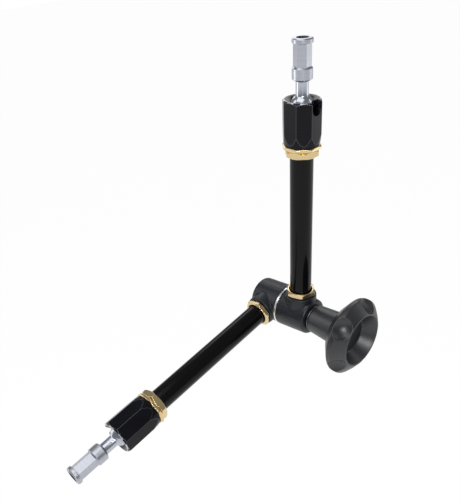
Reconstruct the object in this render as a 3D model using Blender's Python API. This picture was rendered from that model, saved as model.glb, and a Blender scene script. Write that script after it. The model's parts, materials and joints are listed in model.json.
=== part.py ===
"""Articulating friction arm with one central locking knob.

Two tubular arms meet at an elbow. Each arm ends in a ball stem that carries a
hexagonal spigot. The knob draws a tie bolt and a wedge cone together, both cones
lift a push rod in their arm, and each rod presses a cup on its ball, so one knob
locks the elbow and both balls.

Metres, +Z up. The origin is the middle of the lower spigot's hexagon, on its axis,
which is where a clamp holds the arm. The elbow axis runs along X, towards the knob.
"""
import math

import bmesh
import bpy
from mathutils import Matrix, Vector

# Clearances
FIT_GAP = 0.0003
STEM_GAP = 0.0005
WELD_DISTANCE = 0.000004

# Pose and layout
ELBOW_ANGLE = math.radians(100.0)
ROUND_STEPS = 32
SMALL_STEPS = 24
BORE_TURN = math.radians(4.0)

# Tube and push rod
TUBE_RADIUS = 0.0095
TUBE_BORE_RADIUS = 0.0075
TUBE_SEAT = 0.0128
ROD_RADIUS = 0.0040
GUIDE_LENGTH = 0.010

# Hub castings
HUB_INNER_RADIUS = 0.0187
HUB_OUTER_RADIUS = 0.0164
HUB_EDGE_CHAMFER = 0.0008
HUB_END_ROUND = 0.0028
BOSS_ROOT_RADIUS = 0.0149
BOSS_DRAFT = 0.0006
BOSS_INNER_MARGIN = 0.0002
BOSS_OUTER_MARGIN = 0.0004
BOSS_TOP = 0.0208
BOSS_CHAMFER = 0.0006

# Cones, bolt and keys
CONE_SLOPE = 0.40
CONE_MID_RADIUS = 0.0080
CONE_HALF_LENGTH = 0.0040
WEB_THICKNESS = 0.0090
BOLT_RADIUS = 0.0050
BOLT_TRAVEL_ROOM = 0.0011
KEY_WIDTH = 0.0030
KEY_LENGTH = 0.0050
KEY_HEIGHT = 0.0032
KEY_BITE = 0.0014
KEY_SETBACK = 0.0004
CAP_RADIUS = 0.0119
CAP_FLANGE = 0.0021
CAP_SPIGOT = 0.0012
CAP_CROWN = 0.0004

# Washers
FRICTION_WASHER_RADIUS = 0.0186
FRICTION_WASHER_THICKNESS = 0.0016
THRUST_WASHER_RADIUS = 0.0122
THRUST_WASHER_THICKNESS = 0.0014
WASHER_CHAMFER = 0.0003

# Brass nuts and collar
BASE_NUT_FLATS = 0.0240
BASE_NUT_THICKNESS = 0.0047
LOCK_NUT_FLATS = 0.0252
LOCK_NUT_THICKNESS = 0.0060
COLLAR_FLATS = 0.0296
COLLAR_THICKNESS = 0.0030
NUT_CHAMFER = 0.0009
NUT_TURN = math.radians(-15.0)

# Head and ball
HEAD_FLATS = 0.0290
HEAD_LENGTH = 0.0351
HEAD_FOOT_RADIUS = 0.0142
HEAD_TAPER_LENGTH = 0.0105
HEAD_TOP_CHAMFER = 0.0016
HEAD_MOUTH_RADIUS = 0.0126
MOUTH_DEPTH = 0.0018
BALL_DEPTH = 0.0056
LOCK_NUT_START = 0.1523
BALL_RADIUS = 0.0094
NECK_RADIUS = 0.0050
NECK_ROOT_ROUND = 0.0010
STEM_TAIL_RADIUS = 0.0040
STEM_TAIL_LENGTH = 0.0072
CUP_RADIUS = 0.0095
CUP_HEIGHT = 0.0087

# Spigot
SPIGOT_COLLAR_RADIUS = 0.0079
SPIGOT_COLLAR_LENGTH = 0.0098
SPIGOT_COLLAR_CHAMFER = 0.0013
SPIGOT_HEX_FLATS = 0.0120
SPIGOT_HEX_LENGTH = 0.0165
SPIGOT_HEX_TURN = math.radians(5.0)
SPIGOT_FLANGE_RADIUS = 0.0080
SPIGOT_FLANGE_LENGTH = 0.0037
SPIGOT_FLANGE_CHAMFER = 0.0008
SPIGOT_HOLE_RADIUS = 0.00405
SPIGOT_HOLE_DEPTH = 0.0140
SPIGOT_COUNTERSINK = 0.0008
NECK_LENGTH = 0.0190

# Knob
KNOB_STEPS = 60
KNOB_NECK_RADIUS = 0.0129
KNOB_NECK_END_RADIUS = 0.0150
KNOB_NECK_LENGTH = 0.0260
KNOB_CORE_RADIUS = 0.0243
KNOB_CORE_RISE = 0.0032
KNOB_RIM_RADIUS = 0.0353
KNOB_BACK_RISE = 0.0083
KNOB_RIM_WIDTH = 0.0047
KNOB_RIM_ROUND = 0.0020
KNOB_FRONT_RISE = 0.0085
KNOB_FRONT_BULGE = 0.0004
KNOB_CREST_RADIUS = 0.0238
KNOB_CREST_ROUND = 0.0007
KNOB_FLOOR_RADIUS = 0.0165
KNOB_RECESS_DEPTH = 0.0118
KNOB_SCOOPS = 5
KNOB_SCOOP_TURN = math.radians(45.0)
KNOB_SCOOP_RADIUS = 0.0113
KNOB_SCOOP_CENTRE = 0.0337
INSERT_RADIUS = 0.0090
INSERT_LENGTH = 0.0260
BOLT_SPARE = 0.0040
KNOB_BORE_SPARE = 0.0015

# Lengths that follow along an arm, measured from the elbow axis
CLEAR_BORE = TUBE_RADIUS + FIT_GAP
BASE_NUT_START = BOSS_TOP + FIT_GAP
COLLAR_START = LOCK_NUT_START + LOCK_NUT_THICKNESS + FIT_GAP
HEAD_START = COLLAR_START + COLLAR_THICKNESS + FIT_GAP
HEAD_END = HEAD_START + HEAD_LENGTH
SOCKET_RADIUS = BALL_RADIUS + FIT_GAP
SLOT_HALF_WIDTH = NECK_RADIUS + STEM_GAP
BALL_CENTRE = HEAD_END - BALL_DEPTH
CUP_END = BALL_CENTRE - SLOT_HALF_WIDTH
CUP_START = CUP_END - CUP_HEIGHT
ROD_END = CUP_START - FIT_GAP
TUBE_END = CUP_START - 4.0 * FIT_GAP
STEM_SHOULDER = BALL_CENTRE + NECK_LENGTH
SPIGOT_START = STEM_SHOULDER + FIT_GAP
HEX_START = SPIGOT_START + SPIGOT_COLLAR_LENGTH
FLANGE_START = HEX_START + SPIGOT_HEX_LENGTH
SPIGOT_END = FLANGE_START + SPIGOT_FLANGE_LENGTH
GRIP_POINT = HEX_START + SPIGOT_HEX_LENGTH / 2.0

# Lengths that follow along the elbow axis, measured from the washer's middle
HUB_START = FRICTION_WASHER_THICKNESS / 2.0 + FIT_GAP
BOSS_TOP_RADIUS = BOSS_ROOT_RADIUS - BOSS_DRAFT
ARM_OFFSET = HUB_START + BOSS_INNER_MARGIN + BOSS_ROOT_RADIUS
HUB_REACH = ARM_OFFSET + BOSS_ROOT_RADIUS + BOSS_OUTER_MARGIN
CHAMBER_START = HUB_START + WEB_THICKNESS
CONE_SMALL_END = ARM_OFFSET - CONE_HALF_LENGTH
CONE_LARGE_END = ARM_OFFSET + CONE_HALF_LENGTH
CONE_SMALL_RADIUS = CONE_MID_RADIUS - CONE_SLOPE * CONE_HALF_LENGTH
CONE_LARGE_RADIUS = CONE_MID_RADIUS + CONE_SLOPE * CONE_HALF_LENGTH
CHAMBER_RADIUS = CONE_LARGE_RADIUS + FIT_GAP
BOLT_HOLE_RADIUS = BOLT_RADIUS + FIT_GAP
CAP_START = HUB_REACH - CAP_FLANGE + FIT_GAP
BOLT_TAIL = CAP_START - CAP_SPIGOT - BOLT_TRAVEL_ROOM
KEY_START = BOLT_TAIL - KEY_LENGTH - KEY_SETBACK
THRUST_START = HUB_REACH + FIT_GAP
THRUST_END = THRUST_START + THRUST_WASHER_THICKNESS
KNOB_START = THRUST_END + FIT_GAP
NECK_END = KNOB_START + KNOB_NECK_LENGTH
CORE_BACK = NECK_END + KNOB_CORE_RISE
RIM_BACK = CORE_BACK + KNOB_BACK_RISE
RIM_FRONT = RIM_BACK + KNOB_RIM_WIDTH
CREST = RIM_FRONT + KNOB_FRONT_RISE
KNOB_FLOOR = CREST - KNOB_RECESS_DEPTH
INSERT_END = KNOB_START + INSERT_LENGTH
BOLT_END = INSERT_END + BOLT_SPARE
KNOB_BORE_END = BOLT_END + KNOB_BORE_SPARE


def clear_scene():
    for obj in list(bpy.data.objects):
        bpy.data.objects.remove(obj, do_unlink=True)


def make_material(name, color, roughness, metallic):
    material = bpy.data.materials.new(name)
    material.use_nodes = True
    shader = material.node_tree.nodes["Principled BSDF"]
    shader.inputs["Base Color"].default_value = (*color, 1.0)
    shader.inputs["Roughness"].default_value = roughness
    shader.inputs["Metallic"].default_value = metallic
    return material


def add_empty(name, location=(0.0, 0.0, 0.0), turn=0.0, parent=None):
    """A joint frame, turned about X."""
    empty = bpy.data.objects.new(name, None)
    bpy.context.scene.collection.objects.link(empty)
    empty.location = location
    empty.rotation_euler = (turn, 0.0, 0.0)
    empty.parent = parent
    return empty


def finish(bm, name, material, parent, location=(0.0, 0.0, 0.0)):
    """Turn a bmesh into an object that is shaded smooth with sharp corners."""
    bmesh.ops.remove_doubles(bm, verts=bm.verts, dist=0.000001)
    bmesh.ops.recalc_face_normals(bm, faces=bm.faces)
    mesh = bpy.data.meshes.new(name)
    bm.to_mesh(mesh)
    bm.free()
    mesh.shade_smooth()
    mesh.set_sharp_from_angle(angle=math.radians(28.0))
    if material:
        mesh.materials.append(material)
    obj = bpy.data.objects.new(name, mesh)
    bpy.context.scene.collection.objects.link(obj)
    obj.parent = parent
    obj.location = location
    return obj


def as_cutter(obj):
    obj.hide_render = True
    obj.display_type = "WIRE"
    return obj


def boolean(obj, other, operation):
    """Leave a live Boolean on obj."""
    modifier = obj.modifiers.new(operation.title() + "_" + other.name, "BOOLEAN")
    modifier.operation = operation
    modifier.solver = "EXACT"
    modifier.object = as_cutter(other)
    return obj


def weld(obj):
    """Close the hairline seams that Booleans leave where facets meet end to end."""
    modifier = obj.modifiers.new("Weld", "WELD")
    modifier.merge_threshold = WELD_DISTANCE
    return obj


def axis_matrix(axis):
    """The turn that lays a body made along +Z on the named axis."""
    turns = {"Z": 0.0, "X": math.pi / 2.0, "-X": -math.pi / 2.0}
    return Matrix.Rotation(turns[axis], 4, "Y")


def turned(name, profile, material, parent, axis="Z", steps=ROUND_STEPS, start=0.0,
           location=(0.0, 0.0, 0.0)):
    """Spin a profile of (radius, distance) points about an axis.

    A profile that starts and ends on the axis is left open, any other is a ring.
    """
    bm = bmesh.new()
    verts = [bm.verts.new((radius, 0.0, along)) for radius, along in profile]
    for a, b in zip(verts, verts[1:]):
        bm.edges.new((a, b))
    touches_axis = profile[0][0] < 1e-9 and profile[-1][0] < 1e-9
    if not touches_axis:
        bm.edges.new((verts[-1], verts[0]))
    bmesh.ops.rotate(bm, verts=bm.verts, cent=(0, 0, 0), matrix=Matrix.Rotation(start, 3, "Z"))
    bmesh.ops.spin(bm, geom=bm.verts[:] + bm.edges[:], cent=(0, 0, 0), axis=(0, 0, 1),
                   angle=2.0 * math.pi, steps=steps, use_merge=True)
    bmesh.ops.transform(bm, matrix=axis_matrix(axis), verts=bm.verts)
    return finish(bm, name, material, parent, location)


def prism(name, sides, flats, low, high, material, parent, turn=0.0):
    """A prism along Z, from low to high, with the given width across its flats."""
    bm = bmesh.new()
    corner_radius = flats / 2.0 / math.cos(math.pi / sides)
    middle = Matrix.Translation((0.0, 0.0, (low + high) / 2.0))
    spin = Matrix.Rotation(turn, 4, "Z")
    bmesh.ops.create_cone(bm, cap_ends=True, segments=sides, radius1=corner_radius,
                          radius2=corner_radius, depth=high - low, matrix=middle @ spin)
    return finish(bm, name, material, parent)


def block(name, low, high, material, parent):
    """A box between two corners."""
    bm = bmesh.new()
    bmesh.ops.create_cube(bm, size=1.0)
    size = Vector(high) - Vector(low)
    bmesh.ops.scale(bm, vec=size, verts=bm.verts)
    bmesh.ops.translate(bm, vec=(Vector(high) + Vector(low)) / 2.0, verts=bm.verts)
    return finish(bm, name, material, parent)


def arc(centre_radius, centre_along, radius, start, end, steps):
    """Profile points on an arc; 0 degrees points away from the axis, 90 along it."""
    points = []
    for i in range(steps + 1):
        angle = math.radians(start + (end - start) * i / steps)
        points.append((centre_radius + radius * math.cos(angle),
                       centre_along + radius * math.sin(angle)))
    return points


def ring_profile(inner, outer, low, high, chamfer):
    """A washer-like ring with chamfered outer edges."""
    return [(inner, low), (outer - chamfer, low), (outer, low + chamfer),
            (outer, high - chamfer), (outer - chamfer, high), (inner, high)]


def make_nut(name, flats, sides, low, thickness, material, parent, turn):
    """A prism whose corners are turned off at 30 degrees, bored for the tube."""
    high = low + thickness
    corner = flats / 2.0 / math.cos(math.pi / sides) + FIT_GAP
    face = flats / 2.0 - NUT_CHAMFER / 2.0
    drop = (corner - face) * math.tan(math.radians(30.0))
    profile = [(CLEAR_BORE, low), (face, low), (corner, low + drop), (corner, high - drop),
               (face, high), (CLEAR_BORE + NUT_CHAMFER, high), (CLEAR_BORE, high - NUT_CHAMFER)]
    nut = turned(name, profile, material, parent)
    shape = prism("shape_" + name, sides, flats, low - 0.001, high + 0.001, None, parent, turn)
    return weld(boolean(nut, shape, "INTERSECT"))


def make_hub(name, side, material, parent):
    """A drafted barrel along the elbow axis with a boss for the tube.

    side is 1 where the hub lies on the knob's side of the washer, else -1.
    """
    axis = "X" if side > 0 else "-X"
    centre = -side * ARM_OFFSET
    at_washer = (centre, 0.0, 0.0)
    draft = (HUB_INNER_RADIUS - HUB_OUTER_RADIUS) / HUB_REACH
    shoulder = HUB_OUTER_RADIUS + draft * HUB_END_ROUND
    profile = [(0.0, HUB_START), (HUB_INNER_RADIUS - HUB_EDGE_CHAMFER, HUB_START),
               (HUB_INNER_RADIUS, HUB_START + HUB_EDGE_CHAMFER)]
    profile += arc(shoulder - HUB_END_ROUND, HUB_REACH - HUB_END_ROUND, HUB_END_ROUND, 0, 90, 4)
    profile.append((0.0, HUB_REACH))
    hub = turned(name, profile, material, parent, axis, location=at_washer)

    boss_profile = [(0.0, 0.0), (BOSS_ROOT_RADIUS, 0.0),
                    (BOSS_TOP_RADIUS, BOSS_TOP - BOSS_CHAMFER),
                    (BOSS_TOP_RADIUS - BOSS_CHAMFER, BOSS_TOP), (0.0, BOSS_TOP)]
    boss = turned("boss_" + name, boss_profile, None, parent)
    boolean(hub, boss, "UNION")

    chamber_profile = [(0.0, -0.001), (BOLT_HOLE_RADIUS, -0.001),
                       (BOLT_HOLE_RADIUS, CHAMBER_START), (CHAMBER_RADIUS, CHAMBER_START)]
    if side > 0:
        chamber_profile.append((CHAMBER_RADIUS, HUB_REACH + 0.001))
    else:
        cap_seat = CAP_START - FIT_GAP
        chamber_profile += [(CHAMBER_RADIUS, cap_seat), (CAP_RADIUS + FIT_GAP, cap_seat),
                            (CAP_RADIUS + FIT_GAP, HUB_REACH + 0.001)]
    chamber_profile.append((0.0, chamber_profile[-1][1]))
    chamber = turned("chamber_" + name, chamber_profile, None, parent, axis,
                     steps=SMALL_STEPS, start=BORE_TURN, location=at_washer)
    boolean(hub, chamber, "DIFFERENCE")

    seat_floor = TUBE_SEAT - FIT_GAP
    bore_profile = [(0.0, 0.0), (ROD_RADIUS + FIT_GAP, 0.0), (ROD_RADIUS + FIT_GAP, seat_floor),
                    (CLEAR_BORE, seat_floor), (CLEAR_BORE, BOSS_TOP + 0.001),
                    (0.0, BOSS_TOP + 0.001)]
    bore = turned("bore_" + name, bore_profile, None, parent, start=BORE_TURN)
    boolean(hub, bore, "DIFFERENCE")

    half = KEY_WIDTH / 2.0 + FIT_GAP
    ends = sorted((centre + side * (KEY_START - FIT_GAP),
                   centre + side * (KEY_START + KEY_LENGTH + FIT_GAP)))
    keyway = block("keyway_" + name, (ends[0], -half, key_bottom() - FIT_GAP),
                   (ends[1], half, -CHAMBER_RADIUS + KEY_BITE), None, parent)
    return weld(boolean(hub, keyway, "DIFFERENCE"))


def key_bottom():
    """The key's lowest height: it bites into the cone's guide from outside."""
    return -(CONE_LARGE_RADIUS - KEY_BITE) - KEY_HEIGHT


def make_key(name, side, material, parent):
    centre = -side * ARM_OFFSET
    ends = sorted((centre + side * KEY_START, centre + side * (KEY_START + KEY_LENGTH)))
    low = (ends[0], -KEY_WIDTH / 2.0, key_bottom())
    high = (ends[1], KEY_WIDTH / 2.0, key_bottom() + KEY_HEIGHT)
    return block(name, low, high, material, parent)


def key_slot(name, side, end, parent):
    """The slot that lets a cone slide past its key."""
    half = KEY_WIDTH / 2.0 + FIT_GAP
    ends = sorted((side * (KEY_START - 4.0 * FIT_GAP), side * (end + 0.001)))
    low = (ends[0], -half, -CONE_LARGE_RADIUS - 0.001)
    high = (ends[1], half, key_bottom() + KEY_HEIGHT + FIT_GAP)
    return block(name, low, high, None, parent)


def make_rod(name, side, material, parent):
    """A push rod whose foot is cut to the slope of its cone."""
    foot = CONE_MID_RADIUS + FIT_GAP * math.hypot(1.0, CONE_SLOPE)
    bm = bmesh.new()
    low = CONE_SMALL_RADIUS
    middle = Matrix.Translation((0.0, 0.0, (low + ROD_END) / 2.0))
    bmesh.ops.create_cone(bm, cap_ends=True, segments=SMALL_STEPS, radius1=ROD_RADIUS,
                          radius2=ROD_RADIUS, depth=ROD_END - low, matrix=middle)
    normal = Vector((-side * CONE_SLOPE, 0.0, 1.0)).normalized()
    cut = bmesh.ops.bisect_plane(bm, geom=bm.verts[:] + bm.edges[:] + bm.faces[:],
                                 dist=0.0000001, plane_co=(0.0, 0.0, foot), plane_no=normal,
                                 clear_inner=True)
    rim = [item for item in cut["geom_cut"] if isinstance(item, bmesh.types.BMEdge)]
    bmesh.ops.contextual_create(bm, geom=rim)
    return finish(bm, name, material, parent)


def make_head(name, side, material, parent):
    """The octagonal ball socket, slotted on one side so that the stem can lie over."""
    corner = HEAD_FLATS / 2.0 / math.cos(math.pi / 8.0) + FIT_GAP
    top = HEAD_FLATS / 2.0 - HEAD_TOP_CHAMFER / 2.0
    drop = (corner - top) * 0.8
    profile = [(0.0, HEAD_START), (HEAD_FOOT_RADIUS, HEAD_START),
               (corner, HEAD_START + HEAD_TAPER_LENGTH), (corner, HEAD_END - drop),
               (top, HEAD_END), (0.0, HEAD_END)]
    head = turned(name, profile, material, parent)
    shape = prism("shape_" + name, 8, HEAD_FLATS, HEAD_START - 0.001, HEAD_END + 0.001,
                  None, parent, math.pi / 8.0)
    boolean(head, shape, "INTERSECT")

    lip = HEAD_END - MOUTH_DEPTH
    lip_angle = math.degrees(math.asin((lip - BALL_CENTRE) / SOCKET_RADIUS))
    bore_profile = [(0.0, HEAD_START - 0.001), (CLEAR_BORE, HEAD_START - 0.001),
                    (CLEAR_BORE, BALL_CENTRE)]
    bore_profile += arc(0.0, BALL_CENTRE, SOCKET_RADIUS, 0, lip_angle, 6)
    slope = (HEAD_MOUTH_RADIUS - bore_profile[-1][0]) / MOUTH_DEPTH
    bore_profile += [(HEAD_MOUTH_RADIUS + slope * 0.001, HEAD_END + 0.001),
                     (0.0, HEAD_END + 0.001)]
    bore = turned("bore_" + name, bore_profile, None, parent)
    boolean(head, bore, "DIFFERENCE")

    slot = make_slot("slot_" + name, side, parent)
    return weld(boolean(head, slot, "DIFFERENCE"))


def make_slot(name, side, parent):
    """A round-ended slot from the ball's centre to the mouth, cut through one wall."""
    bm = bmesh.new()
    steps = 12
    verts = []
    for i in range(steps + 1):
        angle = math.pi + math.pi * i / steps
        verts.append(bm.verts.new((0.0, SLOT_HALF_WIDTH * math.cos(angle),
                                   BALL_CENTRE + SLOT_HALF_WIDTH * math.sin(angle))))
    verts.append(bm.verts.new((0.0, SLOT_HALF_WIDTH, HEAD_END + 0.001)))
    verts.append(bm.verts.new((0.0, -SLOT_HALF_WIDTH, HEAD_END + 0.001)))
    face = bm.faces.new(verts)
    grown = bmesh.ops.extrude_face_region(bm, geom=[face])
    moved = [item for item in grown["geom"] if isinstance(item, bmesh.types.BMVert)]
    bmesh.ops.translate(bm, vec=(side * HEAD_FLATS, 0.0, 0.0), verts=moved)
    return finish(bm, name, None, parent)


def make_cup(name, material, parent):
    """The cup that the rod presses on the ball."""
    seat_angle = -math.degrees(math.asin(SLOT_HALF_WIDTH / SOCKET_RADIUS))
    profile = [(0.0, CUP_START), (CUP_RADIUS, CUP_START), (CUP_RADIUS, CUP_END)]
    profile += arc(0.0, BALL_CENTRE, SOCKET_RADIUS, seat_angle, -90.0, 5)
    return turned(name, profile, material, parent)


def make_ball_stem(name, material, parent):
    """Ball, neck and the threaded tail that screws into the spigot."""
    neck_angle = math.degrees(math.acos(NECK_RADIUS / BALL_RADIUS))
    neck_foot = BALL_RADIUS * math.sin(math.radians(neck_angle))
    profile = arc(0.0, 0.0, BALL_RADIUS, -90.0, neck_angle, 12)
    profile += [(NECK_RADIUS, neck_foot + NECK_ROOT_ROUND), (NECK_RADIUS, NECK_LENGTH),
                (STEM_TAIL_RADIUS, NECK_LENGTH), (STEM_TAIL_RADIUS, NECK_LENGTH + STEM_TAIL_LENGTH),
                (0.0, NECK_LENGTH + STEM_TAIL_LENGTH)]
    return turned(name, profile, material, parent)


def make_spigot(name, material, parent):
    """Collar, hexagon and end flange, with a tapped hole in its end face."""
    chamfer = SPIGOT_COLLAR_CHAMFER
    inner = SPIGOT_COLLAR_RADIUS - chamfer
    collar = [(0.0, SPIGOT_START), (inner, SPIGOT_START),
              (SPIGOT_COLLAR_RADIUS, SPIGOT_START + chamfer * 0.8),
              (SPIGOT_COLLAR_RADIUS, HEX_START - chamfer * 0.8), (inner, HEX_START),
              (0.0, HEX_START)]
    spigot = turned(name, collar, material, parent)

    overlap = 0.0004
    hexagon = prism("hexagon_" + name, 6, SPIGOT_HEX_FLATS, HEX_START - overlap,
                    FLANGE_START + overlap, None, parent, SPIGOT_HEX_TURN)
    boolean(spigot, hexagon, "UNION")
    edge = SPIGOT_FLANGE_CHAMFER
    flange = [(0.0, FLANGE_START), (SPIGOT_FLANGE_RADIUS - edge / 2.0, FLANGE_START),
              (SPIGOT_FLANGE_RADIUS, FLANGE_START + edge / 2.0),
              (SPIGOT_FLANGE_RADIUS, SPIGOT_END - edge), (SPIGOT_FLANGE_RADIUS - edge, SPIGOT_END),
              (0.0, SPIGOT_END)]
    boolean(spigot, turned("flange_" + name, flange, None, parent), "UNION")

    sink = SPIGOT_HOLE_RADIUS + SPIGOT_COUNTERSINK
    hole_floor = SPIGOT_END - SPIGOT_HOLE_DEPTH
    hole = [(0.0, hole_floor), (SPIGOT_HOLE_RADIUS, hole_floor),
            (SPIGOT_HOLE_RADIUS, SPIGOT_END - SPIGOT_COUNTERSINK), (sink, SPIGOT_END),
            (sink, SPIGOT_END + 0.001), (0.0, SPIGOT_END + 0.001)]
    boolean(spigot, turned("hole_" + name, hole, None, parent, steps=24), "DIFFERENCE")
    tail = STEM_TAIL_RADIUS + FIT_GAP
    socket_end = STEM_SHOULDER + STEM_TAIL_LENGTH + FIT_GAP
    socket = [(0.0, SPIGOT_START - 0.001), (tail, SPIGOT_START - 0.001), (tail, socket_end),
              (0.0, socket_end)]
    socket_cutter = turned("socket_" + name, socket, None, parent, steps=24)
    return weld(boolean(spigot, socket_cutter, "DIFFERENCE"))


def make_arm(prefix, side, arm, stem, metals):
    """One arm, from its hub at the elbow to its spigot."""
    make_hub(prefix + "_hub", side, metals["casting"], arm)
    make_nut(prefix + "_base_nut", BASE_NUT_FLATS, 6, BASE_NUT_START, BASE_NUT_THICKNESS,
             metals["brass"], arm, NUT_TURN)
    turned(prefix + "_tube", [(TUBE_BORE_RADIUS, TUBE_SEAT), (TUBE_RADIUS, TUBE_SEAT),
                              (TUBE_RADIUS, TUBE_END), (TUBE_BORE_RADIUS, TUBE_END)],
           metals["black_tube"], arm)
    make_rod(prefix + "_push_rod", side, metals["steel"], arm)
    guide_end = TUBE_END - GUIDE_LENGTH
    turned(prefix + "_rod_guide",
           ring_profile(ROD_RADIUS + FIT_GAP, TUBE_BORE_RADIUS - FIT_GAP,
                        guide_end - GUIDE_LENGTH, guide_end, WASHER_CHAMFER),
           metals["nylon"], arm, steps=SMALL_STEPS)
    make_nut(prefix + "_head_lock_nut", LOCK_NUT_FLATS, 6, LOCK_NUT_START, LOCK_NUT_THICKNESS,
             metals["brass"], arm, NUT_TURN)
    make_nut(prefix + "_head_collar", COLLAR_FLATS, 8, COLLAR_START, COLLAR_THICKNESS,
             metals["brass"], arm, math.pi / 8.0)
    make_head(prefix + "_head", side, metals["anodised"], arm)
    make_cup(prefix + "_pressure_cup", metals["steel"], arm)
    make_ball_stem(prefix + "_ball_stem", metals["chrome"], stem)
    make_spigot(prefix + "_spigot", metals["satin_steel"], arm)


def make_tie_bolt(material, parent):
    """Threaded bolt with the lower arm's cone turned on its tail."""
    profile = [(0.0, -BOLT_TAIL), (CONE_LARGE_RADIUS, -BOLT_TAIL),
               (CONE_LARGE_RADIUS, -CONE_LARGE_END), (CONE_SMALL_RADIUS, -CONE_SMALL_END),
               (BOLT_RADIUS, -CONE_SMALL_END), (BOLT_RADIUS, BOLT_END - WASHER_CHAMFER * 3.0),
               (BOLT_RADIUS - WASHER_CHAMFER * 3.0, BOLT_END), (0.0, BOLT_END)]
    bolt = turned("tie_bolt", profile, material, parent, "X")
    return boolean(bolt, key_slot("slot_tie_bolt", -1, BOLT_TAIL, parent), "DIFFERENCE")


def make_wedge_cone(material, parent):
    """Sleeve on the bolt that lifts the upper arm's rod."""
    profile = [(BOLT_HOLE_RADIUS, CONE_SMALL_END), (CONE_SMALL_RADIUS, CONE_SMALL_END),
               (CONE_LARGE_RADIUS, CONE_LARGE_END), (CONE_LARGE_RADIUS, HUB_REACH),
               (BOLT_HOLE_RADIUS, HUB_REACH)]
    cone = turned("wedge_cone", profile, material, parent, "X")
    return boolean(cone, key_slot("slot_wedge_cone", 1, HUB_REACH, parent), "DIFFERENCE")


def make_knob(material, parent):
    """Hand wheel: drafted neck, dished front, and finger scoops cut through its rim."""
    edge = KNOB_RIM_ROUND
    crest = KNOB_CREST_ROUND
    front = math.atan2(KNOB_RIM_RADIUS - KNOB_CREST_RADIUS, KNOB_FRONT_RISE)
    back = math.atan2(KNOB_RIM_RADIUS - KNOB_CORE_RADIUS, KNOB_BACK_RISE)
    cone_high = (KNOB_CREST_RADIUS + crest, CREST - crest * 0.4)
    cone_middle = ((KNOB_RIM_RADIUS + cone_high[0]) / 2.0,
                   (RIM_FRONT + cone_high[1]) / 2.0 + KNOB_FRONT_BULGE)
    profile = [(0.0, KNOB_FLOOR), (KNOB_FLOOR_RADIUS, KNOB_FLOOR),
               (KNOB_CREST_RADIUS - crest, CREST - crest * 0.6), (KNOB_CREST_RADIUS, CREST),
               cone_high, cone_middle]
    profile += arc(KNOB_RIM_RADIUS - edge, RIM_FRONT - edge * math.tan(front / 2.0), edge,
                   math.degrees(front), 0.0, 3)
    profile += arc(KNOB_RIM_RADIUS - edge, RIM_BACK + edge * math.tan(back / 2.0), edge,
                   0.0, -math.degrees(back), 3)
    profile += [(KNOB_CORE_RADIUS, CORE_BACK),
                (KNOB_NECK_END_RADIUS + crest, NECK_END + crest * 0.7),
                (KNOB_NECK_END_RADIUS, NECK_END - crest),
                (KNOB_NECK_RADIUS, KNOB_START + crest), (KNOB_NECK_RADIUS - crest, KNOB_START),
                (INSERT_RADIUS + FIT_GAP, KNOB_START), (INSERT_RADIUS + FIT_GAP, KNOB_BORE_END),
                (0.0, KNOB_BORE_END)]
    knob = turned("knob", profile, material, parent, "X", steps=KNOB_STEPS)

    low = NECK_END - 0.001
    high = CREST + 0.001
    bm = bmesh.new()
    for i in range(KNOB_SCOOPS):
        angle = KNOB_SCOOP_TURN + 2.0 * math.pi * i / KNOB_SCOOPS
        centre = Vector(((low + high) / 2.0, -math.sin(angle) * KNOB_SCOOP_CENTRE,
                         math.cos(angle) * KNOB_SCOOP_CENTRE))
        bmesh.ops.create_cone(bm, cap_ends=True, segments=KNOB_STEPS, radius1=KNOB_SCOOP_RADIUS,
                              radius2=KNOB_SCOOP_RADIUS, depth=high - low,
                              matrix=Matrix.Translation(centre) @ axis_matrix("X"))
    scoops = finish(bm, "knob_scoops", None, parent)
    core_profile = [(0.0, low - 0.001), (KNOB_CORE_RADIUS, low - 0.001),
                    (KNOB_CORE_RADIUS, high + 0.001), (0.0, high + 0.001)]
    core = turned("knob_core", core_profile, None, parent, "X", steps=KNOB_STEPS, start=BORE_TURN)
    boolean(scoops, core, "DIFFERENCE")
    return weld(boolean(knob, scoops, "DIFFERENCE"))


def make_elbow(elbow, metals):
    """Everything on the elbow axis between and beyond the two hubs."""
    washer = FRICTION_WASHER_THICKNESS / 2.0
    turned("friction_washer", ring_profile(BOLT_HOLE_RADIUS, FRICTION_WASHER_RADIUS, -washer,
                                           washer, WASHER_CHAMFER),
           metals["washer"], elbow, "X")
    turned("thrust_washer", ring_profile(BOLT_HOLE_RADIUS, THRUST_WASHER_RADIUS, THRUST_START,
                                         THRUST_END, WASHER_CHAMFER),
           metals["chrome"], elbow, "X")
    turned("knob_insert", ring_profile(BOLT_HOLE_RADIUS, INSERT_RADIUS, KNOB_START, INSERT_END,
                                       WASHER_CHAMFER),
           metals["brass"], elbow, "X", steps=SMALL_STEPS)
    make_knob(metals["knob"], elbow)
    spigot_radius = CHAMBER_RADIUS - FIT_GAP
    cap = [(0.0, CAP_START - CAP_SPIGOT), (spigot_radius, CAP_START - CAP_SPIGOT),
           (spigot_radius, CAP_START), (CAP_RADIUS, CAP_START),
           (CAP_RADIUS, HUB_REACH - CAP_CROWN), (CAP_RADIUS - CAP_CROWN, HUB_REACH),
           (0.0, HUB_REACH + CAP_CROWN)]
    turned("hub_end_cap", cap, metals["cap"], elbow, "-X")


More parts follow.
